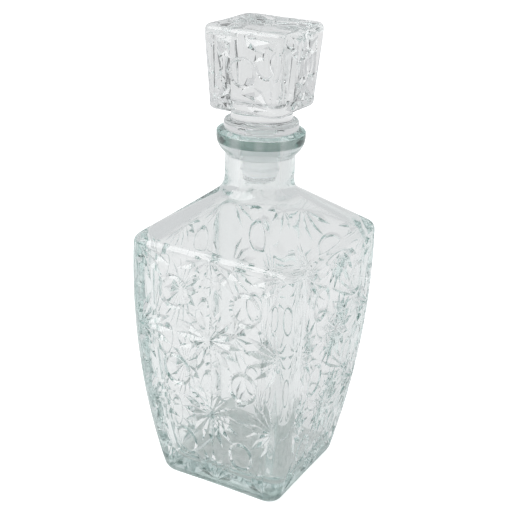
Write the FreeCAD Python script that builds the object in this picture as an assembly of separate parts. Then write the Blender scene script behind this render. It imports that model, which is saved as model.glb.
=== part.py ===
"""Square moulded-glass spirit decanter with a square-headed glass stopper and a ribbed polythene seal.

Three pieces come apart on a bench: the glass bottle, the glass stopper, and the soft sleeve that is
pushed over the stopper's shank and wipes the bore of the neck. The frame's origin is the middle of the
foot, +Z is up and the four panels face along X and Y. Units are millimetres.
"""
import FreeCAD
import Part
import math
import os

V = FreeCAD.Vector

# ---- bottle: outside -------------------------------------------------------------------------
foot_half = 34.3            # half the width across the panels at the table
shoulder_half = 47.3        # the same at the shoulder edge
panel_bow = 4.1             # the panels stand this far outside a straight taper, half way up
shoulder_height = 134.4     # table to shoulder edge
foot_corner_radius = 7.0    # upright corners at the foot
shoulder_corner_radius = 8.7
heel_radius = 6.0           # rounding under the panels
foot_ring = 4.3             # flat ring that it stands on
punt_depth = 1.2            # hollow inside the ring
punt_draft = 2.0            # how far the hollow's sides lean in
punt_corner_radius = 6.0
shoulder_edge_radius = 5.0
shoulder_rise = 23.2        # shoulder edge up to where its slope would meet the neck
neck_cove_radius = 9.0
neck_radius = 17.5
neck_length = 17.8          # from there up to the underside of the lip

# ---- bottle: lip -----------------------------------------------------------------------------
lip_reach = 4.5             # the lip stands this far out from the neck
lip_curl_height = 6.0       # rounded underside
lip_land_height = 3.9       # upright land at the widest
lip_slope_height = 2.3      # slope up to the stopper's seat
lip_slope_run = 3.4

# ---- bottle: inside --------------------------------------------------------------------------
panel_wall = 4.4            # glass behind the middle of a panel
shoulder_wall = 4.0         # glass under the shoulder edge
neck_drop = 1.5             # the cavity's shoulder meets the bore this much under the outside's
floor_thickness = 10.0
cavity_corner_radius = 15.0 # blown glass stays rounder inside than out
cavity_heel_radius = 9.0
bore_radius = 10.0

# ---- seal ------------------------------------------------------------------------------------
seal_rib_clearance = 0.3    # rib tips to the neck's bore
seal_rib_reach = 1.15       # rib tips stand this far off the sleeve
seal_sleeve_wall = 1.1
seal_turn_clearance = 0.05  # the stopper turns in the sleeve
seal_end_gap = 0.3          # sleeve to the flange above it and to the bead below it
seal_length = 22.0
seal_rib_count = 4
seal_rib_thickness = 1.0
seal_rib_droop = 1.3        # each rib leans down as it goes out

# ---- stopper ---------------------------------------------------------------------------------
flange_height = 4.9
flange_edge_radius = 1.8
waist_radius = 15.2
waist_height = 6.2
head_low_half = 19.6
head_top_half = 21.9
head_height = 40.3
head_corner_radius = 4.0
head_top_edge_radius = 3.7
head_low_edge_radius = 2.8
shank_bead_reach = 0.7      # bead that keeps the sleeve on the shank
shank_bead_length = 3.0
shank_tip_bevel = 1.2
head_dish_radius = 13.5     # shallow round hollow in the top
head_dish_depth = 0.9

# ---- cuts on the head: a button in the middle of each face, a quarter star in each corner ----
head_button_height = 19.0   # above the head's underside
button_radius = 6.2
button_groove = 1.9
button_depth = 0.9
star_edge_gap = 2.6         # a corner star's middle to the face's edges
star_rays = 16              # in a full star
ray_start = 1.2             # from the star's middle to a ray's inner tip
ray_widest = 0.62           # where a ray is widest and deepest, as a share of its length
ray_fill = 0.92             # how much of its sector a ray fills at its widest
ray_depth = 1.5
diagonal_ray = 13.2         # lengths of the three rays that fan into a face
side_ray = 14.6
edge_ray = 29.0             # upright ray along each edge, from the low corners only

# ---- heights and radii that follow from the sizes above --------------------------------------
neck_base_height = shoulder_height + shoulder_rise
lip_under_height = neck_base_height + neck_length
lip_land_low = lip_under_height + lip_curl_height
lip_land_high = lip_land_low + lip_land_height
seat = lip_land_high + lip_slope_height
lip_radius = neck_radius + lip_reach
lip_top_radius = lip_radius - lip_slope_run
punt_half = foot_half - heel_radius - foot_ring
shank_radius = bore_radius - seal_rib_clearance - seal_rib_reach - seal_sleeve_wall - seal_turn_clearance
sleeve_radius = shank_radius + seal_turn_clearance + seal_sleeve_wall
seal_top = seat - seal_end_gap
seal_bottom = seal_top - seal_length
shank_bottom = seal_bottom - seal_end_gap - shank_bead_length
waist_bottom = seat + flange_height
head_bottom = waist_bottom + waist_height
head_top = head_bottom + head_height
head_corner_star = head_low_half - star_edge_gap      # corner stars' middles, from the middle of a face
head_star_low = star_edge_gap + head_low_edge_radius - head_button_height
head_star_high = head_height - head_top_edge_radius - star_edge_gap - head_button_height


# ---- sections and profiles -------------------------------------------------------------------
def side_arc():
    """Centre height, centre offset and radius of the arc that the panels follow in side view."""
    belly_half = (foot_half + shoulder_half) / 2 + panel_bow
    low, mid, high = (foot_half, 0.0), (belly_half, shoulder_height / 2), (shoulder_half, shoulder_height)
    d = 2 * (low[0] * (mid[1] - high[1]) + mid[0] * (high[1] - low[1]) + high[0] * (low[1] - mid[1]))
    squares = [p[0] ** 2 + p[1] ** 2 for p in (low, mid, high)]
    x = (squares[0] * (mid[1] - high[1]) + squares[1] * (high[1] - low[1]) + squares[2] * (low[1] - mid[1])) / d
    z = (squares[0] * (high[0] - mid[0]) + squares[1] * (low[0] - high[0]) + squares[2] * (mid[0] - low[0])) / d
    return z, x, math.hypot(low[0] - x, low[1] - z)


def side_half(z):
    """Half the outside width across the panels at height z."""
    arc_z, arc_x, radius = side_arc()
    return arc_x + math.sqrt(radius ** 2 - (z - arc_z) ** 2)


def corner_radius_at(z):
    share = z / shoulder_height
    return foot_corner_radius + (shoulder_corner_radius - foot_corner_radius) * share


def arc_edge(centre, radius, start, end):
    """Arc in a level plane from angle start to end, in degrees."""
    points = [
        centre + V(radius * math.cos(math.radians(a)), radius * math.sin(math.radians(a)), 0)
        for a in (start, (start + end) / 2, end)
    ]
    return Part.Arc(*points).toShape()


def rounded_square(half, radius, z):
    """Level wire of eight edges: four sides, four corners."""
    inset = half - radius
    edges = []
    for turn in range(4):
        angle = 90 * turn
        side = FreeCAD.Rotation(V(0, 0, 1), angle)
        edges.append(
            Part.LineSegment(side.multVec(V(half, -inset, z)), side.multVec(V(half, inset, z))).toShape()
        )
        edges.append(arc_edge(side.multVec(V(inset, inset, z)), radius, angle, angle + 90))
    return Part.Wire(edges)


def rounded_ring(radius, side_angle, z):
    """Circle cut into the same eight edges: side_angle is half of what each side takes, in degrees."""
    edges = []
    for turn in range(4):
        angle = 90 * turn
        edges.append(arc_edge(V(0, 0, z), radius, angle - side_angle, angle + side_angle))
        edges.append(arc_edge(V(0, 0, z), radius, angle + side_angle, angle + 90 - side_angle))
    return Part.Wire(edges)


def revolved(points):
    """Solid turned about Z from a closed outline of (radius, height) points."""
    outline = [V(r, 0, z) for r, z in points]
    face = Part.Face(Part.makePolygon(outline + outline[:1]))
    return face.revolve(V(0, 0, 0), V(0, 0, 1), 360)


def edges_between(shape, low, high, within=None):
    """Edges whose box lies between two heights and, if given, inside a radius."""
    found = []
    for edge in shape.Edges:
        box = edge.BoundBox
        if box.ZMin < low or box.ZMax > high:
            continue
        if within is not None and max(-box.XMin, box.XMax, -box.YMin, box.YMax) > within:
            continue
        found.append(edge)
    return found


# ---- bottle ----------------------------------------------------------------------------------
section_count = 5
cavity_band_count = 5
transition_angle = 20.0     # half the arc of the neck that each shoulder face runs into
touch = 0.05                # how near a height an edge lies to count as at it


def bottle_outside():
    heights = [shoulder_height * i / (section_count - 1) for i in range(section_count)]
    sections = [rounded_square(side_half(z), corner_radius_at(z), z) for z in heights]
    body = Part.makeLoft(sections, True, False)
    shoulder = Part.makeLoft(
        [sections[-1], rounded_ring(neck_radius, transition_angle, neck_base_height)], True, True
    )
    neck = Part.makeCylinder(neck_radius, lip_under_height - neck_base_height, V(0, 0, neck_base_height))
    solid = body.fuse([shoulder, neck]).removeSplitter()
    solid = solid.makeFillet(neck_cove_radius, edges_between(
        solid, neck_base_height - touch, neck_base_height + touch, neck_radius + touch))
    solid = solid.makeFillet(shoulder_edge_radius, edges_between(
        solid, shoulder_height - touch, shoulder_height + touch))
    return solid.makeFillet(heel_radius, edges_between(solid, -touch, touch))


def lip():
    """Collar round the mouth: curled underside, upright land, and a slope up to the stopper's flat seat."""
    curl = lip_land_low - lip_under_height
    flare = lip_radius - neck_radius
    return revolved([
        (0, lip_under_height - 1), (neck_radius, lip_under_height - 1), (neck_radius, lip_under_height),
        (neck_radius + 0.45 * flare, lip_under_height + 0.14 * curl),
        (neck_radius + 0.78 * flare, lip_under_height + 0.42 * curl),
        (neck_radius + 0.95 * flare, lip_under_height + 0.75 * curl),
        (lip_radius, lip_land_low), (lip_radius, lip_land_high),
        (lip_top_radius, seat), (0, seat),
    ])


def cavity():
    """The space for the drink, blown rounder than the mould, with the straight bore above it.

    Straight bands between level sections follow the panels; the lowest three bands round the heel.
    """
    top = shoulder_height - shoulder_wall / 2
    meet = neck_base_height - neck_drop
    levels = []
    for angle in (90, 60, 30, 0):
        rise = cavity_heel_radius * (1 - math.sin(math.radians(angle)))
        levels.append((floor_thickness + rise, cavity_heel_radius * (1 - math.cos(math.radians(angle)))))
    start = floor_thickness + cavity_heel_radius
    for band in range(1, cavity_band_count + 1):
        levels.append((start + (top - start) * band / cavity_band_count, 0.0))
    sections = []
    for z, heel in levels:
        half = side_half(z) - panel_wall - heel
        sections.append(rounded_square(half, cavity_corner_radius - heel / 2, z))
    body = Part.makeLoft(sections, True, True)
    shoulder = Part.makeLoft([sections[-1], rounded_ring(bore_radius, transition_angle, meet)], True, True)
    bore = Part.makeCylinder(bore_radius, seat + 1.0 - meet, V(0, 0, meet))
    solid = body.fuse([shoulder, bore]).removeSplitter()
    return solid.makeFillet(neck_cove_radius, edges_between(
        solid, meet - touch, meet + touch, bore_radius + touch))


def punt():
    return Part.makeLoft([
        rounded_square(punt_half, punt_corner_radius, -1.0),
        rounded_square(punt_half - punt_draft, punt_corner_radius, punt_depth),
    ], True, True)


def bottle():
    return bottle_outside().fuse(lip()).removeSplitter().cut(cavity()).cut(punt())


# ---- stopper ---------------------------------------------------------------------------------
def head_blank():
    """Square head, a little wider at the top, before it is cut."""
    solid = Part.makeLoft([
        rounded_square(head_low_half, head_corner_radius, head_bottom),
        rounded_square(head_top_half, head_corner_radius, head_top),
    ], True, True)
    solid = solid.makeFillet(head_top_edge_radius, edges_between(solid, head_top - touch, head_top + touch))
    solid = solid.makeFillet(head_low_edge_radius, edges_between(solid, head_bottom - touch, head_bottom + touch))
    ball_radius = (head_dish_radius ** 2 + head_dish_depth ** 2) / (2 * head_dish_depth)
    return solid.cut(Part.makeSphere(ball_radius, V(0, 0, head_top - head_dish_depth + ball_radius), V(1, 0, 0)))


def face_frame(turn):
    """Placement that takes a cut laid out in (across, up, out) to one of the head's four faces."""
    lean = math.degrees(math.atan2(head_top_half - head_low_half, head_height))
    half = head_low_half + (head_top_half - head_low_half) * head_button_height / head_height
    out = FreeCAD.Placement(V(half, 0, head_bottom + head_button_height), FreeCAD.Rotation(V(0, 1, 0), lean))
    lay = FreeCAD.Placement(V(), FreeCAD.Rotation(V(0, 1, 0), V(0, 0, 1), V(1, 0, 0), "ZXY"))
    return FreeCAD.Placement(V(), FreeCAD.Rotation(V(0, 0, 1), 90 * turn)).multiply(out).multiply(lay)


def ring_cut(radius, width, depth):
    """V-shaped groove round a button."""
    outline = [V(radius, 0, -depth), V(radius + width, 0, depth), V(radius - width, 0, depth)]
    return Part.Face(Part.makePolygon(outline + outline[:1])).revolve(V(0, 0, 0), V(0, 0, 1), 360)


def ray_cut(across, up, angle, length):
    """One ray of a star: a kite-shaped V-groove, pointed at both ends, widest and deepest past its middle."""
    widest = ray_start + length * ray_widest
    half_width = ray_fill * widest * math.tan(math.pi / star_rays)
    deep = V(widest, 0, -ray_depth)
    rim = [V(ray_start, 0, 0), V(widest, half_width, 0), V(ray_start + length, 0, 0), V(widest, -half_width, 0)]
    lifted = [deep + (p - deep) * 1.6 for p in rim]
    faces = [Part.Face(Part.makePolygon(lifted + lifted[:1]))]
    for a, b in zip(lifted, lifted[1:] + lifted[:1]):
        faces.append(Part.Face(Part.makePolygon([deep, a, b, deep])))
    ray = Part.makeSolid(Part.makeShell(faces))
    ray.Placement = FreeCAD.Placement(V(across, up, 0), FreeCAD.Rotation(V(0, 0, 1), angle))
    return ray


def face_cuts():
    """One face's cuts: a round button, three rays from each corner, a long ray up each edge."""
    cuts = [ring_cut(button_radius + button_groove / 2, button_groove / 2, button_depth)]
    step = 360 / star_rays
    for side in (-1, 1):
        for up, sense in ((head_star_low, 1), (head_star_high, -1)):
            for ray, length in ((-1, side_ray), (0, diagonal_ray), (1, side_ray)):
                angle = sense * (90 + side * 45) + ray * step
                cuts.append(ray_cut(side * head_corner_star, up, angle, length))
        cuts.append(ray_cut(side * head_corner_star, head_star_low, 90, edge_ray))
    return cuts


def head():
    tools = []
    for turn in range(4):
        frame = face_frame(turn)
        for cut in face_cuts():
            tool = cut.copy()
            tool.Placement = frame.multiply(cut.Placement)
            tools.append(tool)
    return head_blank().cut(tools)


def stopper():
    """Head on a turned stem: waist, flange that seats on the lip, shank and the bead that keeps the sleeve."""
    soft = flange_edge_radius
    bead = shank_radius + shank_bead_reach
    bead_top = shank_bottom + shank_bead_length
    stem = revolved([
        (0, shank_bottom), (bead - shank_tip_bevel, shank_bottom), (bead, shank_bottom + shank_tip_bevel),
        (bead, bead_top), (shank_radius, bead_top), (shank_radius, seat), (lip_top_radius, seat),
        (lip_top_radius, waist_bottom - soft), (lip_top_radius - 0.3 * soft, waist_bottom - 0.3 * soft),
        (lip_top_radius - soft, waist_bottom), (waist_radius, waist_bottom),
        (waist_radius, head_bottom + head_low_edge_radius), (0, head_bottom + head_low_edge_radius),
    ])
    return head().fuse(stem).removeSplitter()


# ---- seal ------------------------------------------------------------------------------------
def stopper_seal():
    """Sleeve with thin ribs that lean down as they go out."""
    bore = shank_radius + seal_turn_clearance
    outline = [(bore, seal_bottom), (bore, seal_top), (sleeve_radius, seal_top)]
    pitch = seal_length / seal_rib_count
    for rib in range(seal_rib_count):
        root = seal_top - pitch * (rib + 0.15)
        tip = root - seal_rib_droop
        outline.append((sleeve_radius, root))
        outline.append((sleeve_radius + seal_rib_reach, tip))
        outline.append((sleeve_radius, root - seal_rib_thickness))
    outline.append((sleeve_radius, seal_bottom))
    return revolved(outline)


pieces = {"bottle": bottle, "stopper": stopper, "stopper_seal": stopper_seal}
os.makedirs("parts", exist_ok=True)
for name, make in pieces.items():
    shape = make()
    shape.exportStep(f"parts/{name}.step")
    print(name, "valid", shape.isValid(), "solids", len(shape.Solids), "cm3", round(shape.Volume / 1000, 1))
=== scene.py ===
# %% [markdown]
# # A square star-cut decanter
# A moulded glass bottle, a glass stopper and the soft ribbed sleeve that seals them. The solid
# model of the three fixes where everything is. This lesson makes the glass worth looking at: closed
# walls with a real inside, and a daisy-and-button pattern that is truly cut into the surface,
# because glass shows every facet by bending light through it.

# %% Load the fixed frame
import math

import bpy
import bmesh
from mathutils import Matrix, Vector


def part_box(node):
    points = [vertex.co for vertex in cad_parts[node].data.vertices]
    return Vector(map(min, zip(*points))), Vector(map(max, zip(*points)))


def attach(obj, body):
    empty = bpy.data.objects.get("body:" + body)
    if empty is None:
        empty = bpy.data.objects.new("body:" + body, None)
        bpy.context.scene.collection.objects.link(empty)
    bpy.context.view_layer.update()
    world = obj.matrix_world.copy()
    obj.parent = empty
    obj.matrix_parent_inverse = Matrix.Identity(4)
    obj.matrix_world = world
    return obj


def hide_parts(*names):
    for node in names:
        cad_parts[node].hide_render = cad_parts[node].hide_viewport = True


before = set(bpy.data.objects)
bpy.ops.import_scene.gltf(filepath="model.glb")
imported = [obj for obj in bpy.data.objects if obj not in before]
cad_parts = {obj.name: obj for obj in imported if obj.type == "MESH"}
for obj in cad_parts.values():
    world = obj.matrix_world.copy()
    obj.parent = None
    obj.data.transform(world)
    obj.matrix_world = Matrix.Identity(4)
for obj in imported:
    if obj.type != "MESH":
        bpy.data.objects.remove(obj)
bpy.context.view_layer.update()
mm = 0.001

# %% [markdown]
# ## Heights taken from the frame
# The bottle stands on z = 0 and its top is the stopper's seat. Everything that has to meet another
# piece is measured from these boxes, in millimetres, and the rest are the glassmaker's own sizes.

# %% Heights and widths that the pieces share
bottle_low, bottle_high = (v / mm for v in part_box("bottle"))
stopper_low, stopper_high = (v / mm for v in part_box("stopper"))
seal_low, seal_high = (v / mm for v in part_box("stopper_seal"))
seat = bottle_high.z
head_top = stopper_high.z
foot_half, shoulder_half, panel_bow = 34.3, 47.3, 4.1
shoulder_height, shoulder_rise = 134.4, 23.2
neck_base = shoulder_height + shoulder_rise
neck_radius, lip_radius, lip_top_radius, bore_radius = 17.5, 22.0, 18.6, 10.0
print("bottle from", round(bottle_low.z, 2), "to the seat", round(seat, 2), "half width", round(bottle_high.x, 2))
print("seal from", round(seal_low.z, 2), "to", round(seal_high.z, 2), "head top", round(head_top, 2))


# %% The panels' bowed outline
def panel_arc():
    """Centre height, centre offset and radius of the arc that a panel follows in side view."""
    low, high = (foot_half, 0.0), (shoulder_half, shoulder_height)
    mid = ((foot_half + shoulder_half) / 2 + panel_bow, shoulder_height / 2)
    d = 2 * (low[0] * (mid[1] - high[1]) + mid[0] * (high[1] - low[1]) + high[0] * (low[1] - mid[1]))
    s = [p[0] ** 2 + p[1] ** 2 for p in (low, mid, high)]
    x = (s[0] * (mid[1] - high[1]) + s[1] * (high[1] - low[1]) + s[2] * (low[1] - mid[1])) / d
    z = (s[0] * (high[0] - mid[0]) + s[1] * (low[0] - high[0]) + s[2] * (mid[0] - low[0])) / d
    return z, x, math.hypot(low[0] - x, low[1] - z)


arc_z, arc_x, arc_radius = panel_arc()


def panel_half(z):
    """Half the width across the panels at a height."""
    return arc_x + math.sqrt(arc_radius ** 2 - (z - arc_z) ** 2)


print("half width at foot, middle, shoulder:",
      [round(panel_half(z), 2) for z in (0, shoulder_height / 2, shoulder_height)])

# %% [markdown]
# ## Rings
# Both glass pieces go from a square to a circle. If every level ring has the same number of points,
# and each side and corner always keeps its share of them, then any two rings can be joined by a
# band of quads, however different their shapes are. A list of rings is then a whole solid: up the
# outside, over the rim, down the inside, and closed at both ends.

# %% Level rings that share one layout
side_steps, corner_steps = 6, 8
side_turn = 20.0


def square_ring(half, corner, z):
    """Rounded square, its points shared out over four sides and four corners."""
    inset = half - corner
    points = []
    for quarter in range(4):
        spin = Matrix.Rotation(math.radians(90 * quarter), 3, "Z")
        for i in range(side_steps):
            points.append(spin @ Vector((half, inset * (2 * i / side_steps - 1), z)))
        for i in range(corner_steps):
            a = math.radians(90 * i / corner_steps)
            points.append(spin @ Vector((inset + corner * math.cos(a), inset + corner * math.sin(a), z)))
    return points


def round_ring(radius, z):
    """Circle whose points follow the same four sides and corners."""
    points = []
    for quarter in range(4):
        for i in range(side_steps):
            a = math.radians(90 * quarter + side_turn * (2 * i / side_steps - 1))
            points.append(Vector((radius * math.cos(a), radius * math.sin(a), z)))
        for i in range(corner_steps):
            a = math.radians(90 * quarter + side_turn + (90 - 2 * side_turn) * i / corner_steps)
            points.append(Vector((radius * math.cos(a), radius * math.sin(a), z)))
    return points


def between(ring_a, ring_b, share):
    return [a.lerp(b, share) for a, b in zip(ring_a, ring_b)]


print("points in a ring:", len(round_ring(1, 0)))


# %% Soften the turns and close the skin
def soften(keys, steps=6):
    """keys: (ring, reach). A turn with a reach becomes a smooth bend that starts and ends that far from it."""
    rings = []
    for i, (ring, reach) in enumerate(keys):
        if not reach or i in (0, len(keys) - 1):
            rings.append(ring)
            continue
        before, after = keys[i - 1][0], keys[i + 1][0]
        for step in range(steps + 1):
            t = step / steps
            bend = []
            for p, b, a in zip(ring, before, after):
                start = p + (b - p).normalized() * min(reach, (b - p).length * 0.98)
                end = p + (a - p).normalized() * min(reach, (a - p).length * 0.98)
                bend.append(start.lerp(p, t).lerp(p.lerp(end, t), t))
            rings.append(bend)
    return rings


def closed_skin(name, rings):
    """Mesh through all the rings, closed by a fan at each end, in metres, smooth shaded."""
    bm = bmesh.new()
    rows = [[bm.verts.new(p * mm) for p in ring] for ring in rings]
    n = len(rows[0])
    for low, high in zip(rows, rows[1:]):
        for i in range(n):
            bm.faces.new((low[i], low[(i + 1) % n], high[(i + 1) % n], high[i]))
    for row, flip in ((rows[0], True), (rows[-1], False)):
        middle = bm.verts.new(sum((v.co for v in row), Vector()) / n)
        for i in range(n):
            pair = (row[i], row[(i + 1) % n])
            bm.faces.new((middle, pair[1], pair[0]) if flip else (middle, pair[0], pair[1]))
    for face in bm.faces:
        face.smooth = True
    mesh = bpy.data.meshes.new(name)
    bm.to_mesh(mesh)
    bm.free()
    obj = bpy.data.objects.new(name, mesh)
    bpy.context.scene.collection.objects.link(obj)
    print(name, "quads and fans:", len(mesh.polygons))
    return obj


# %% [markdown]
# ## The bottle before it is cut
# Outside: a hollow under the foot, a rounded heel, four bowed panels, a sloped shoulder that turns
# from square to round, a neck and a collared lip. Inside, blown glass is always rounder than its
# mould, so the cavity has much bigger corners and a thick floor. That gap between the two shapes
# is what makes the dark green edges of real glass.

# %% Outside and inside of the bottle as one skin
wall, floor_thickness, cavity_corner, cavity_heel = 4.4, 10.0, 15.0, 9.0
cavity_top = shoulder_height - 2.0
lip_under = seat - 12.2
lip_low, lip_high = lip_under + 6.4, seat - 0.8


def corner_at(z):
    return 7.0 + 1.7 * z / shoulder_height


def bottle_keys():
    keys = [(square_ring(8.0, 4.0, 1.2), 0), (square_ring(22.0, 6.0, 1.2), 1.2), (square_ring(24.0, 6.0, 0.0), 0.6)]
    keys.append((square_ring(foot_half, corner_at(0), 0.0), 5.0))
    for i in range(1, 30):
        z = 8.0 + (shoulder_height - 3.2 - 8.0) * i / 30
        keys.append((square_ring(panel_half(z), corner_at(z), z), 0))
    edge = square_ring(shoulder_half, 8.7, shoulder_height)
    foot_of_neck = round_ring(neck_radius, neck_base)
    keys.append((edge, 2.9))
    for share in (0.2, 0.4, 0.6, 0.78):
        keys.append((between(edge, foot_of_neck, share), 0))
    keys.append((foot_of_neck, 5.5))
    keys += [(round_ring(neck_radius, z), 0) for z in (neck_base + 8, lip_under - 4)]
    keys += [(round_ring(neck_radius, lip_under), 0.8), (round_ring(lip_radius, lip_low - 1.2), 3.6)]
    keys += [(round_ring(lip_radius, lip_high), 0.6), (round_ring(lip_top_radius, seat - 0.05), 0.4)]
    keys += [(round_ring(bore_radius, seat - 0.05), 0.9), (round_ring(bore_radius, seat - 14), 0)]
    neck_inside = round_ring(bore_radius, neck_base - 1.5)
    inside_edge = square_ring(panel_half(cavity_top) - wall, cavity_corner, cavity_top)
    keys.append((neck_inside, 5.5))
    for share in (0.75, 0.5, 0.25):
        keys.append((between(inside_edge, neck_inside, share), 0))
    keys.append((inside_edge, 3.0))
    for i in range(1, 16):
        z = cavity_top - 4 - (cavity_top - 4 - floor_thickness - cavity_heel - 1) * i / 16
        keys.append((square_ring(panel_half(z) - wall, cavity_corner, z), 0))
    keys.append((square_ring(panel_half(floor_thickness) - wall, cavity_corner, floor_thickness), cavity_heel))
    keys.append((square_ring(8.0, 4.0, floor_thickness), 0))
    return keys


bottle = closed_skin("bottle_glass", soften(bottle_keys()))

# %% [markdown]
# ## The cutter's pattern
# Every panel carries the same traditional daisy-and-button pattern: sixteen-ray stars on a grid,
# half stars where the grid meets the panel's edge, and a round button in the middle of every four
# stars. A ray is a kite-shaped V-groove, so its cutter is a four-sided pyramid, point down. That is
# exactly what Geometry Nodes is good at: one pyramid, turned sixteen times round each grid point.

# %% A small helper for node trees
def node(tree, kind, inputs=None, **settings):
    """Adds a node, sets its properties, and feeds each named or numbered input with a socket or a value."""
    made = tree.nodes.new(kind)
    for key, value in settings.items():
        setattr(made, key, value)
    for key, value in (inputs or {}).items():
        socket = made.inputs[key]
        if isinstance(value, bpy.types.NodeSocket):
            tree.links.new(value, socket)
        else:
            socket.default_value = value
    return made


def calc(tree, operation, *values):
    """One math node; every value is a number or a socket."""
    return node(tree, "ShaderNodeMath", dict(enumerate(values)), operation=operation).outputs[0]


def position(tree):
    """The three coordinates of each point as sockets."""
    return node(tree, "ShaderNodeSeparateXYZ", {0: tree.nodes.new("GeometryNodeInputPosition").outputs[0]}).outputs


def joined(tree, x=0.0, y=0.0, z=0.0):
    return node(tree, "ShaderNodeCombineXYZ", {0: x, 1: y, 2: z}).outputs[0]


# %% The daisy-and-button tree
FLOATS = ("Pitch", "Middle height", "Ray start", "Ray widest", "Ray end", "Ray half width", "Ray depth", "Rise",
          "Keep across", "Keep low", "Keep high", "First turn", "Button radius", "Groove half width", "Groove depth")
INTS = ("Columns", "Rows", "Rays")


def ray_cutter(tree, given):
    """A four-sided pyramid, point down, its base pulled into a kite and carried up past the glass."""
    cone = node(tree, "GeometryNodeMeshCone", {"Vertices": 4, "Radius Top": 0.0, "Radius Bottom": 1.0, "Depth": 1.0})
    solid = node(tree, "GeometryNodeExtrudeMesh", {
        "Mesh": cone.outputs["Mesh"], "Selection": cone.outputs["Bottom"], "Offset": (0, 0, -1.0), "Individual": False})
    x, y, z = position(tree)
    outer = calc(tree, "SUBTRACT", given["Ray end"], given["Ray widest"])
    inner = calc(tree, "SUBTRACT", given["Ray widest"], given["Ray start"])
    along = calc(tree, "ADD", calc(tree, "MULTIPLY", calc(tree, "MAXIMUM", x, 0.0), outer),
                 calc(tree, "MULTIPLY", calc(tree, "MINIMUM", x, 0.0), inner))
    across = calc(tree, "MULTIPLY", y, given["Ray half width"])
    down = calc(tree, "ADD", calc(tree, "MULTIPLY", calc(tree, "MAXIMUM", z, 0.0), given["Ray depth"]),
                calc(tree, "MULTIPLY", calc(tree, "MINIMUM", z, 0.0), given["Rise"]))
    kite = node(tree, "GeometryNodeSetPosition", {
        "Geometry": solid.outputs["Mesh"], "Position": joined(tree, along, across, calc(tree, "MULTIPLY", down, -1.0))})
    return node(tree, "GeometryNodeFlipFaces", {0: kite.outputs[0]}).outputs[0]


def button_cutter(tree, given):
    """A ring with a V section, for the groove that leaves a round button standing."""
    ring = node(tree, "GeometryNodeCurvePrimitiveCircle", {"Resolution": 48, "Radius": given["Button radius"]})
    vee = node(tree, "GeometryNodeCurvePrimitiveCircle", {"Resolution": 3, "Radius": 1.0})
    x, y, _ = position(tree)
    spread = calc(tree, "ADD", 1.0, calc(tree, "DIVIDE", given["Rise"], given["Groove depth"]))
    side = calc(tree, "MULTIPLY", calc(tree, "MULTIPLY", y, 2 / math.sqrt(3)),
                calc(tree, "MULTIPLY", given["Groove half width"], spread))
    painted_shade = calc(tree, "ADD", calc(tree, "MULTIPLY", calc(tree, "MAXIMUM", x, 0.0), given["Groove depth"]),
                calc(tree, "MULTIPLY", calc(tree, "MULTIPLY", calc(tree, "MINIMUM", x, 0.0), 2.0), given["Rise"]))
    vee = node(tree, "GeometryNodeSetPosition", {"Geometry": vee.outputs[0], "Position": joined(tree, side, painted_shade)})
    swept = node(tree, "GeometryNodeCurveToMesh", {"Curve": ring.outputs[0], "Profile Curve": vee.outputs[0]})
    return node(tree, "GeometryNodeFlipFaces", {0: swept.outputs[0]}).outputs[0]


def grid_points(tree, given, columns, rows):
    """Points a pitch apart in both directions, centred across and at the middle height."""
    sizes = [calc(tree, "MULTIPLY", calc(tree, "SUBTRACT", count, 1.0), given["Pitch"]) for count in (columns, rows)]
    flat = node(tree, "GeometryNodeMeshGrid", {
        "Size X": sizes[0], "Size Y": sizes[1], "Vertices X": columns, "Vertices Y": rows})
    moved = node(tree, "GeometryNodeTransform", {
        "Geometry": flat.outputs[0], "Translation": joined(tree, 0.0, given["Middle height"])})
    return node(tree, "GeometryNodeMeshToPoints", {"Mesh": moved.outputs[0]}).outputs[0]


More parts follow.
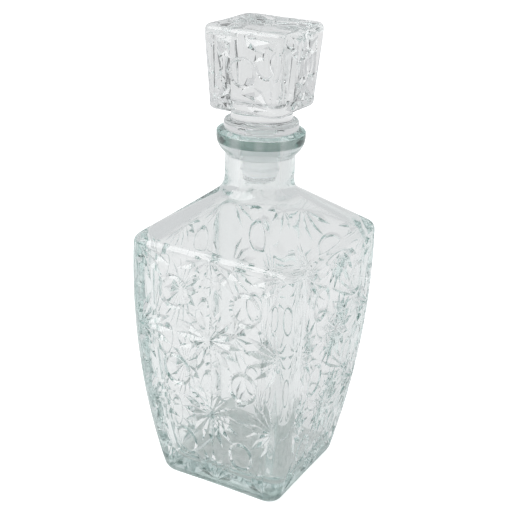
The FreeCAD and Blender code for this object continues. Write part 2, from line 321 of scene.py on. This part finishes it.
def daisy_tree():
    """Flat layout of cutters: X across the panel, Y up it, Z out of the glass, all in metres."""
    tree = bpy.data.node_groups.new("daisy_and_button", "GeometryNodeTree")
    for in_out in ("INPUT", "OUTPUT"):
        tree.interface.new_socket("Geometry", in_out=in_out, socket_type="NodeSocketGeometry")
    for names, kind in ((FLOATS, "NodeSocketFloat"), (INTS, "NodeSocketInt"), (("Material",), "NodeSocketMaterial")):
        for name in names:
            tree.interface.new_socket(name, in_out="INPUT", socket_type=kind)
    given = tree.nodes.new("NodeGroupInput").outputs
    stars = grid_points(tree, given, given["Columns"], given["Rows"])
    many = node(tree, "GeometryNodeDuplicateElements", {"Geometry": stars, "Amount": given["Rays"]}, domain="POINT")
    share = calc(tree, "DIVIDE", many.outputs["Duplicate Index"], given["Rays"])
    turn = calc(tree, "ADD", calc(tree, "MULTIPLY", share, 2 * math.pi), given["First turn"])
    reach = joined(tree, calc(tree, "MULTIPLY", calc(tree, "COSINE", turn), given["Ray widest"]),
                   calc(tree, "MULTIPLY", calc(tree, "SINE", turn), given["Ray widest"]))
    turned = node(tree, "GeometryNodeStoreNamedAttribute", {
        "Geometry": many.outputs[0], "Name": "turn", "Value": turn}, data_type="FLOAT", domain="POINT")
    placed = node(tree, "GeometryNodeSetPosition", {"Geometry": turned.outputs[0], "Offset": reach})
    x, y, _ = position(tree)
    beyond = calc(tree, "ADD", calc(tree, "GREATER_THAN", calc(tree, "ABSOLUTE", x), given["Keep across"]),
                  calc(tree, "ADD", calc(tree, "GREATER_THAN", y, given["Keep high"]),
                       calc(tree, "LESS_THAN", y, given["Keep low"])))
    kept = node(tree, "GeometryNodeDeleteGeometry", {
        "Geometry": placed.outputs[0], "Selection": beyond}, domain="POINT")
    own_turn = node(tree, "GeometryNodeInputNamedAttribute", {"Name": "turn"}, data_type="FLOAT").outputs[0]
    rays = node(tree, "GeometryNodeInstanceOnPoints", {
        "Points": kept.outputs[0], "Instance": ray_cutter(tree, given), "Rotation": joined(tree, 0.0, 0.0, own_turn)})
    fewer = [calc(tree, "SUBTRACT", given[name], 1.0) for name in ("Columns", "Rows")]
    buttons = node(tree, "GeometryNodeInstanceOnPoints", {
        "Points": grid_points(tree, given, *fewer), "Instance": button_cutter(tree, given)})
    both = node(tree, "GeometryNodeJoinGeometry")
    tree.links.new(rays.outputs[0], both.inputs[0])
    tree.links.new(buttons.outputs[0], both.inputs[0])
    real = node(tree, "GeometryNodeRealizeInstances", {0: both.outputs[0]})
    painted = node(tree, "GeometryNodeSetMaterial", {"Geometry": real.outputs[0], "Material": given["Material"]})
    tree.links.new(painted.outputs[0], tree.nodes.new("NodeGroupOutput").inputs[0])
    return tree


daisy = daisy_tree()
print("nodes in the pattern tree:", len(daisy.nodes))


# %% Lay out a sheet of cutters
def cutter_sheet(name, material, **values):
    """Runs the tree once and keeps the plain mesh. Lengths are given in millimetres, counts and turns as they are."""
    obj = bpy.data.objects.new(name, bpy.data.meshes.new(name))
    bpy.context.scene.collection.objects.link(obj)
    modifier = obj.modifiers.new("pattern", "NODES")
    modifier.node_group = daisy
    for item in daisy.interface.items_tree:
        if item.in_out == "INPUT" and item.name != "Geometry":
            key = item.name.lower().replace(" ", "_")
            value = material if item.name == "Material" else values[key]
            in_mm = item.name in FLOATS and item.name != "First turn"
            modifier[item.identifier] = value * mm if in_mm else value
    mesh = bpy.data.meshes.new_from_object(obj.evaluated_get(bpy.context.evaluated_depsgraph_get()))
    bpy.data.objects.remove(obj)
    print(name, "cutter faces:", len(mesh.polygons))
    return mesh


# %% [markdown]
# ## Glass
# Soda-lime glass is nearly clear. Its faint green only shows where light travels a long way through
# it, so the colour belongs to the volume and not to the surface. Pressed glass is also never quite
# flat: a low, wide ripple from the mould bends what is seen through it. Two places of the bottle look
# different: the bore is satin, and the rim and the heel carry painted shade, a streaked dark green in
# their surface colour that makes them darker than their thickness gives. Face attributes mark them,
# so that one material can serve the whole bottle.
#
# The sleeve is polythene, milky because it scatters light inside. Half transmission over a nearly
# white colour gives that, and a fine cloud in roughness and height keeps it from looking like paint.

# %% Glass, cut glass and the soft seal
# The dark green second colour is painted shade for the rim and the heel, put into their surface colour.
clear, painted_shade_tone, green_depth = (1.0, 1.0, 1.0, 1.0), (0.12, 0.21, 0.18, 1.0), (0.14, 0.62, 0.55, 1.0)
polish, satin_reach = 0.012, 0.45


def glass(name, ripple, density):
    """Clear soda-lime glass: a smooth, slightly rippled surface, green only in the depth."""
    material = bpy.data.materials.new(name)
    material.use_nodes = True
    tree = material.node_tree
    surface = tree.nodes["Principled BSDF"]
    surface.inputs["IOR"].default_value = 1.52
    surface.inputs["Transmission Weight"].default_value = 1.0
    surface.inputs["Base Color"].default_value = clear
    surface.inputs["Roughness"].default_value = polish
    place = node(tree, "ShaderNodeTexCoord").outputs["Object"]
    wave = node(tree, "ShaderNodeTexNoise", {"Vector": place, "Scale": 55.0, "Detail": 1.5, "Roughness": 0.4})
    low = node(tree, "ShaderNodeBump", {"Height": wave.outputs["Fac"], "Strength": 1.0, "Distance": ripple * mm})
    tree.links.new(low.outputs[0], surface.inputs["Normal"])
    depth = node(tree, "ShaderNodeVolumeAbsorption", {"Color": green_depth, "Density": density})
    tree.links.new(depth.outputs[0], tree.nodes["Material Output"].inputs["Volume"])
    return material


def follow_marks(material):
    """Satin where the face attribute satin says so; where the painted shade mark says so, painted shade: a streaked
    dark green mixed into the surface colour.
    """
    tree = material.node_tree
    surface = tree.nodes["Principled BSDF"]
    place = node(tree, "ShaderNodeTexCoord").outputs["Object"]
    # The rim and heel darkening read here is painted shade: dark green mixed into the base colour, broken into upright
    # streaks by noise.
    painted_shade = node(tree, "ShaderNodeAttribute", attribute_name="painted_shade").outputs["Fac"]
    upright = node(tree, "ShaderNodeVectorMath", {0: place, 1: (1.0, 1.0, 0.1)}, operation="MULTIPLY").outputs["Vector"]
    streak = node(tree, "ShaderNodeTexNoise", {"Vector": upright, "Scale": 160.0, "Detail": 1.0})
    streaked = node(tree, "ShaderNodeMapRange", {
        "Value": streak.outputs["Fac"], "From Min": 0.35, "From Max": 0.65, "To Min": 0.72, "To Max": 1.0})
    share = calc(tree, "MULTIPLY", painted_shade, streaked.outputs["Result"])
    tint = node(tree, "ShaderNodeMix", {"Factor": share, 6: clear, 7: painted_shade_tone}, data_type="RGBA")
    tree.links.new(tint.outputs[2], surface.inputs["Base Color"])
    satin = node(tree, "ShaderNodeAttribute", attribute_name="satin").outputs["Fac"]
    tree.links.new(calc(tree, "MULTIPLY_ADD", satin, satin_reach, polish), surface.inputs["Roughness"])


def milky_plastic():
    """Polythene: white, soft sheen, lets a little light through."""
    material = bpy.data.materials.new("milky_polythene")
    material.use_nodes = True
    tree = material.node_tree
    surface = tree.nodes["Principled BSDF"]
    surface.inputs["Base Color"].default_value = (0.97, 0.975, 0.975, 1.0)
    surface.inputs["Transmission Weight"].default_value = 0.5
    place = node(tree, "ShaderNodeTexCoord").outputs["Object"]
    cloud = node(tree, "ShaderNodeTexNoise", {"Vector": place, "Scale": 260.0, "Detail": 3.0})
    rough = node(tree, "ShaderNodeMapRange", {"Value": cloud.outputs["Fac"], "To Min": 0.25, "To Max": 0.35})
    tree.links.new(rough.outputs[0], surface.inputs["Roughness"])
    bump = node(tree, "ShaderNodeBump", {"Height": cloud.outputs["Fac"], "Strength": 0.3, "Distance": 0.05 * mm})
    tree.links.new(bump.outputs[0], surface.inputs["Normal"])
    return material


moulded_glass = glass("moulded_glass", 0.04, 4.0)
follow_marks(moulded_glass)
stopper_clear = glass("clear_pressed_glass", 0.03, 0.8)
cut_mark = bpy.data.materials.new("cut_mark")
seal_plastic = milky_plastic()
print("materials:", [m.name for m in (moulded_glass, stopper_clear, seal_plastic)])


# %% [markdown]
# ## Wrap the pattern round the bottle and cut
# The sheet of cutters is flat. Each panel is bowed in height and narrows towards the foot, so every
# point of the sheet is moved: its height picks the place on the bow, its sideways place is squeezed
# with the panel, and its depth goes straight into the glass. Four turned copies then make one cutter.
#
# Light has to leave a glass body through the same material and the same kind of shading that it came
# in by, or the path tracer loses count of which glass it is in. So the facets are not flat shaded:
# every face is smooth, and the edges of the cut faces are marked sharp, which looks just as crisp.

# %% Move flat cutters on to a bowed, narrowing panel
def wrap(mesh, half_at, lean_at, squeeze_at):
    """half_at, lean_at, squeeze_at: the face's distance, its lean and the sideways scale, each at a height."""
    for vertex in mesh.vertices:
        x, z, out = (v / mm for v in vertex.co)
        lean = lean_at(z)
        across = x * squeeze_at(z)
        away = half_at(z) + out * math.cos(lean)
        vertex.co = Vector((across, -away, z + out * math.sin(lean))) * mm


def around(name, sheets):
    """One object with the sheets turned to all four faces."""
    bm = bmesh.new()
    for sheet in sheets:
        for quarter in range(4):
            turned = sheet.copy()
            turned.transform(Matrix.Rotation(math.radians(90 * quarter), 4, "Z"))
            bm.from_mesh(turned)
            bpy.data.meshes.remove(turned)
    mesh = bpy.data.meshes.new(name)
    bm.to_mesh(mesh)
    bm.free()
    mesh.materials.append(cut_mark)
    obj = bpy.data.objects.new(name, mesh)
    bpy.context.scene.collection.objects.link(obj)
    return obj


sliver = 0.001 * mm


def close_slivers(mesh):
    """Closes edges shorter than a sliver, and joins faces thinner than that to a neighbour."""
    bm = bmesh.new()
    bm.from_mesh(mesh)
    points, faces = len(bm.verts), len(bm.faces)
    bmesh.ops.dissolve_degenerate(bm, dist=sliver, edges=bm.edges)
    print("slivers: points closed", points - len(bm.verts), "faces joined", faces - len(bm.faces))
    bm.to_mesh(mesh)
    bm.free()


def cut(piece, cutters):
    """Subtracts the cutters for good. Their faces look flat because all their edges are sharp."""
    tool = piece.modifiers.new("cut", "BOOLEAN")
    tool.operation, tool.solver, tool.object = "DIFFERENCE", "MANIFOLD", cutters
    tool.material_mode = "TRANSFER"
    mesh = bpy.data.meshes.new_from_object(piece.evaluated_get(bpy.context.evaluated_depsgraph_get()))
    piece.modifiers.clear()
    piece.data = mesh
    bpy.data.objects.remove(cutters)
    close_slivers(mesh)
    facets = [p for p in mesh.polygons if mesh.materials[p.material_index] == cut_mark]
    for polygon in mesh.polygons:
        polygon.use_smooth = True
    for polygon in facets:
        for corner in polygon.loop_indices:
            mesh.edges[mesh.loops[corner].edge_index].use_edge_sharp = True
    print(piece.name, "faces:", len(mesh.polygons), "cut facets:", len(facets),
          "size:", [round(v / mm, 2) for v in piece.dimensions])


def one_glass(piece):
    """The mark has done its work: every face goes back to the piece's own glass."""
    mesh = piece.data
    for polygon in mesh.polygons:
        polygon.material_index = 0
    mesh.materials.pop(index=1)
    print(piece.name, "materials:", [m.name for m in mesh.materials])


heel_height = 9


def mark_bottle():
    """Writes how satin each face of the bottle is, and how much painted shade goes into its surface colour."""
    mesh = bottle.data
    satin = mesh.attributes.new("satin", "FLOAT", "FACE")
    painted_shade = mesh.attributes.new("painted_shade", "FLOAT", "FACE")
    for polygon in mesh.polygons:
        x, y, z = polygon.center / mm
        widest = max(abs(x), abs(y))
        inward = polygon.normal.x * x + polygon.normal.y * y < 0
        bore = inward and neck_base + 2 < z < seat - 2 and widest < bore_radius + 0.2
        cavity = inward and heel_height < z < neck_base and widest < panel_half(min(z, shoulder_height)) - 3
        rim = not inward and lip_low + 0.1 < z < lip_high - 0.2 and math.hypot(x, y) > lip_radius - 0.8
        satin.data[polygon.index].value = 0.4 if bore else 0.08 if cavity else 0.0
        # Painted shade: the rim takes the full dark green in its surface colour, the heel three quarters of it.
        painted_shade.data[polygon.index].value = 1.0 if rim else 0.75 if z < heel_height else 0.0
    print("satin faces:", sum(d.value > 0 for d in satin.data), "deep faces:", sum(d.value > 0 for d in painted_shade.data))


# %% Cut the bottle's four panels
bottle.data.materials.append(moulded_glass)
pitch, stretch, top_row = 38.0, 42.9 / 38.0, 134.0
row_shift, side_margin = 0.4, 7.2


def panel_lean(z):
    """The panel's outward normal tips by this angle from level."""
    return math.asin((z - arc_z) / arc_radius)


panel_sheet = cutter_sheet(
    "panel_cutters", cut_mark, pitch=pitch, middle_height=0.0, ray_start=1.7, ray_widest=11.2, ray_end=18.4,
    ray_half_width=2.15, ray_depth=1.4, rise=0.5, keep_across=pitch - 1.5, keep_low=-1.5 * pitch + 3.0,
    keep_high=1.5 * pitch - 3.0, first_turn=0.0, button_radius=7.1, groove_half_width=1.2, groove_depth=1.0,
    columns=3, rows=4, rays=16)
for vertex in panel_sheet.vertices:
    vertex.co.x += row_shift * mm
    vertex.co.y = vertex.co.y * stretch + (top_row - 1.5 * pitch * stretch) * mm
wrap(panel_sheet, panel_half, panel_lean, lambda z: (panel_half(z) - side_margin) / pitch)
cut(bottle, around("bottle_cutters", [panel_sheet]))
one_glass(bottle)
mark_bottle()

# %% [markdown]
# ## The stopper
# One solid piece of glass: a square head that widens upward, a short round waist, the flange that
# rests on the lip, and the shank inside the neck. Its faces carry a button with a quarter daisy in
# each corner, from the same tree with other numbers.

# %% The stopper's skin
head_low_half, head_top_half, head_corner = 19.6, 21.9, 4.0
waist_radius, shank_radius, flange_top, head_bottom = 15.2, 7.4, seat + 4.9, head_top - 40.3
bead_radius = shank_radius + 0.7


def stopper_keys():
    tip = stopper_low.z
    keys = [(round_ring(3.0, tip), 0), (round_ring(bead_radius - 1.2, tip), 0.3)]
    keys += [(round_ring(bead_radius, tip + 1.2), 0.3), (round_ring(bead_radius, tip + 2.8), 0.3)]
    keys += [(round_ring(shank_radius, tip + 3.2), 0.2)]
    keys += [(round_ring(shank_radius, tip + 12), 0), (round_ring(shank_radius, seat), 0.3)]
    keys += [(round_ring(lip_top_radius, seat), 1.8), (round_ring(lip_top_radius, flange_top), 1.8)]
    keys += [(round_ring(waist_radius, flange_top), 0.7), (round_ring(waist_radius, head_bottom), 0.5)]
    keys += [(square_ring(head_low_half, head_corner, head_bottom), 2.4)]
    for i in range(1, 12):
        share = i / 12
        half = head_low_half + (head_top_half - head_low_half) * share
        z = head_bottom + (head_top - head_bottom) * (0.07 + 0.83 * share)
        keys.append((square_ring(half, head_corner, z), 0))
    keys.append((square_ring(head_top_half, head_corner, head_top), 3.1))
    keys += [(round_ring(13.5, head_top), 1.2), (round_ring(9.0, head_top - 0.5), 0)]
    keys += [(round_ring(4.0, head_top - 0.82), 0)]
    return keys


stopper = closed_skin("stopper_glass", soften(stopper_keys()))
stopper.data.materials.append(stopper_clear)


# %% Cut the head
def head_half(z):
    return head_low_half + (head_top_half - head_low_half) * (z - head_bottom) / (head_top - head_bottom)


head_lean = -math.atan((head_top_half - head_low_half) / (head_top - head_bottom))
daisy_height, flute_height = 218.6, 202.6
quarters = cutter_sheet(
    "head_daisies", cut_mark, pitch=32.0, middle_height=0.0, ray_start=1.0, ray_widest=9.6, ray_end=14.2,
    ray_half_width=2.7, ray_depth=1.5, rise=0.5, keep_across=15.5, keep_low=-16.5, keep_high=16.5, first_turn=0.0,
    button_radius=6.6, groove_half_width=0.95, groove_depth=0.9, columns=2, rows=2, rays=8)
for vertex in quarters.vertices:
    vertex.co.y += daisy_height * mm
wrap(quarters, head_half, lambda z: head_lean, lambda z: head_half(z) / head_half(daisy_height))
cut(stopper, around("stopper_cutters", [quarters]))
flutes = cutter_sheet(
    "head_flutes", cut_mark, pitch=32.0, middle_height=0.0, ray_start=0.5, ray_widest=31.5, ray_end=33.5,
    ray_half_width=3.5, ray_depth=1.9, rise=0.5, keep_across=20.0, keep_low=-50.0, keep_high=50.0,
    first_turn=math.pi / 2, button_radius=6.8, groove_half_width=0.95, groove_depth=0.9, columns=2, rows=1, rays=1)
for vertex in flutes.vertices:
    vertex.co.y += flute_height * mm
wrap(flutes, head_half, lambda z: head_lean, lambda z: head_half(z) / head_half(daisy_height))
cut(stopper, around("flute_cutters", [flutes]))
one_glass(stopper)

# %% [markdown]
# ## What moves with what
# The sleeve keeps its own solid and only gets a better finish. The two cut glass pieces stand for
# their plain solids and ride on the same bodies, so they slide and turn as those do.

# %% Tell the frame what each new piece stands for
for piece, cad_node, body in ((bottle, "bottle", "bottle"), (stopper, "stopper", "stopper")):
    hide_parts(cad_node)
    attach(piece, body)
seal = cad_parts["stopper_seal"]
for slot in seal.material_slots:
    slot.material = seal_plastic
print("pieces ride on:", "bottle, stopper, seal")

# %% [markdown]
# ## Light
# Glass is drawn by what it reflects and bends. A white surround makes it glow, but its facets only
# read when some directions are darker, so the room is pale grey, with a dim part towards the camera.
# Light that has already met a matt surface finds a brighter room, or the white sleeve would go grey,
# and only the camera itself sees the background as white. The dim part stays where it is when the
# view moves, so from behind the glass looks darker. Thick cut glass also needs long light paths: at
# the usual number of bounces its depths go dark.

# %% A pale room that darkens gently towards the camera
camera_angle = 28.45
camera_azimuth = math.radians(camera_angle)
room_level, dim_most, matt_lift = 0.67, 0.6, 0.25
world = bpy.data.worlds.new("room")
bpy.context.scene.world = world
world.use_nodes = True
room_tree = world.node_tree
room_tree.nodes.clear()
direction = node(room_tree, "ShaderNodeTexCoord").outputs["Generated"]
towards_camera = Vector((math.sin(camera_azimuth), -math.cos(camera_azimuth), 0.35)).normalized()
facing = node(room_tree, "ShaderNodeVectorMath", {0: direction, 1: towards_camera},
              operation="DOT_PRODUCT").outputs["Value"]
dim = node(room_tree, "ShaderNodeMapRange", {
    "Value": facing, "From Min": 0.45, "From Max": 0.9, "To Min": 0.0, "To Max": dim_most},
    interpolation_type="SMOOTHSTEP").outputs["Result"]
light_path = node(room_tree, "ShaderNodeLightPath").outputs
matt = calc(room_tree, "MINIMUM", light_path["Diffuse Depth"], 1.0)
level = calc(room_tree, "ADD", calc(room_tree, "SUBTRACT", room_level, dim),
             calc(room_tree, "MULTIPLY", matt, calc(room_tree, "ADD", dim, matt_lift)))
pale = node(room_tree, "ShaderNodeBackground", {"Color": (0.98, 0.985, 1.0, 1.0), "Strength": level})
white = node(room_tree, "ShaderNodeBackground", {"Color": (1.0, 1.0, 1.0, 1.0), "Strength": 1.0})
either = node(room_tree, "ShaderNodeMixShader", {
    0: light_path["Is Camera Ray"], 1: pale.outputs[0], 2: white.outputs[0]})
room_tree.links.new(either.outputs[0], node(room_tree, "ShaderNodeOutputWorld").inputs[0])


# %% Floor, lamp and camera
def panel_lamp(name, place, aim, size, power):
    lamp = bpy.data.lights.new(name, "AREA")
    lamp.shape, lamp.size, lamp.size_y, lamp.energy = "RECTANGLE", size[0], size[1], power
    obj = bpy.data.objects.new(name, lamp)
    bpy.context.scene.collection.objects.link(obj)
    obj.location = place
    obj.rotation_euler = (Vector(aim) - Vector(place)).to_track_quat("-Z", "Y").to_euler()
    obj.visible_transmission = False
    return obj


def floor_plane():
    mesh = bpy.data.meshes.new("floor")
    r, z = 3.0, -0.25 * mm
    mesh.from_pydata([(-r, -r, z), (r, -r, z), (r, r, z), (-r, r, z)], [], [(0, 1, 2, 3)])
    obj = bpy.data.objects.new("floor", mesh)
    bpy.context.scene.collection.objects.link(obj)
    material = bpy.data.materials.new("floor")
    material.use_nodes = True
    tree = material.node_tree
    surface = tree.nodes["Principled BSDF"]
    surface.inputs["Base Color"].default_value = (0.86, 0.86, 0.86, 1.0)
    surface.inputs["Roughness"].default_value = 1.0
    surface.inputs["Specular IOR Level"].default_value = 0.0
    seen = node(tree, "ShaderNodeLightPath").outputs["Is Camera Ray"]
    glow = node(tree, "ShaderNodeEmission", {
        "Color": (1.0, 1.0, 1.0, 1.0), "Strength": calc(tree, "MULTIPLY", seen, 0.55)})
    lit = node(tree, "ShaderNodeAddShader", {0: surface.outputs[0], 1: glow.outputs[0]})
    through = node(tree, "ShaderNodeEmission", {"Color": (1.0, 1.0, 1.0, 1.0), "Strength": room_level})
    share = calc(tree, "MULTIPLY", node(tree, "ShaderNodeLightPath").outputs["Is Transmission Ray"], 0.6)
    whole = node(tree, "ShaderNodeMixShader", {0: share, 1: lit.outputs[0], 2: through.outputs[0]})
    tree.links.new(whole.outputs[0], tree.nodes["Material Output"].inputs[0])
    mesh.materials.append(material)
    return obj


floor_plane()
panel_lamp("key", (-0.57, -0.97, 0.82), (0, 0, 0.1), (1.5, 1.0), 16.0)


def place_camera(azimuth, elevation, roll, lens, distance, aim):
    """Camera on a sphere round the aim point, turned a little about its own view line."""
    a, e, r = (math.radians(v) for v in (azimuth, elevation, roll))
    back = Vector((math.sin(a) * math.cos(e), -math.cos(a) * math.cos(e), math.sin(e)))
    right = Vector((math.cos(a), math.sin(a), 0))
    up = back.cross(right)
    right, up = right * math.cos(r) + up * math.sin(r), up * math.cos(r) - right * math.sin(r)
    camera = bpy.data.cameras.new("camera")
    camera.lens, camera.sensor_width = lens, 36.0
    obj = bpy.data.objects.new("camera", camera)
    bpy.context.scene.collection.objects.link(obj)
    obj.matrix_world = Matrix((
        (right.x, up.x, back.x, aim[0] + distance * back.x),
        (right.y, up.y, back.y, aim[1] + distance * back.y),
        (right.z, up.z, back.z, aim[2] + distance * back.z),
        (0, 0, 0, 1)))
    bpy.context.scene.camera = obj
    return obj


camera = place_camera(camera_angle, 21.94, 2.15, 79.03, 0.57308, (-0.00074, -0.0002, 0.12045))
bpy.context.scene.view_settings.view_transform = "Standard"
paths = bpy.context.scene.cycles
paths.max_bounces, paths.diffuse_bounces, paths.glossy_bounces, paths.transmission_bounces = 32, 8, 16, 32
paths.blur_glossy = 0.0
print("camera at", [round(v, 4) for v in camera.location])
